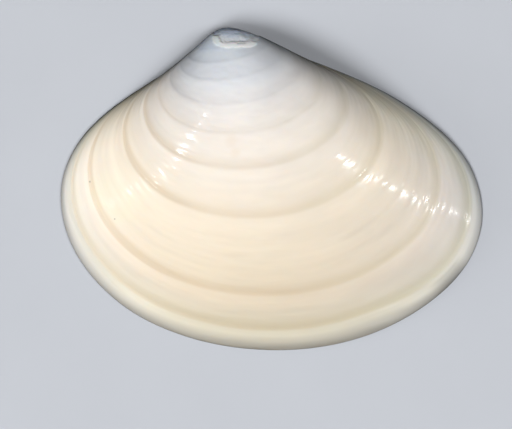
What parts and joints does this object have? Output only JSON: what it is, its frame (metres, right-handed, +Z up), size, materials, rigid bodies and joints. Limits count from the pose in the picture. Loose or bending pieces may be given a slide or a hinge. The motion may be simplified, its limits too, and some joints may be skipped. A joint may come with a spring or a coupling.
{
  "type": "clam shell valve",
  "caption": "Single left valve of a small wavy clam, oval and thin, with growth ridges outside and a shallow hollow and hinge inside.",
  "frame": {"origin": "centre of the valve's box, on the flat margin that it rests on", "axes": "+X towards the hind end of the shell, +Y towards the hinge and beak, +Z up out of the domed outside"},
  "size_m": [0.014, 0.0108, 0.0027],
  "materials": {
    "shell": "gloss"
  },
  "bodies": {
    "root": {"left_valve": "shell"}
  },
  "joints": []
}
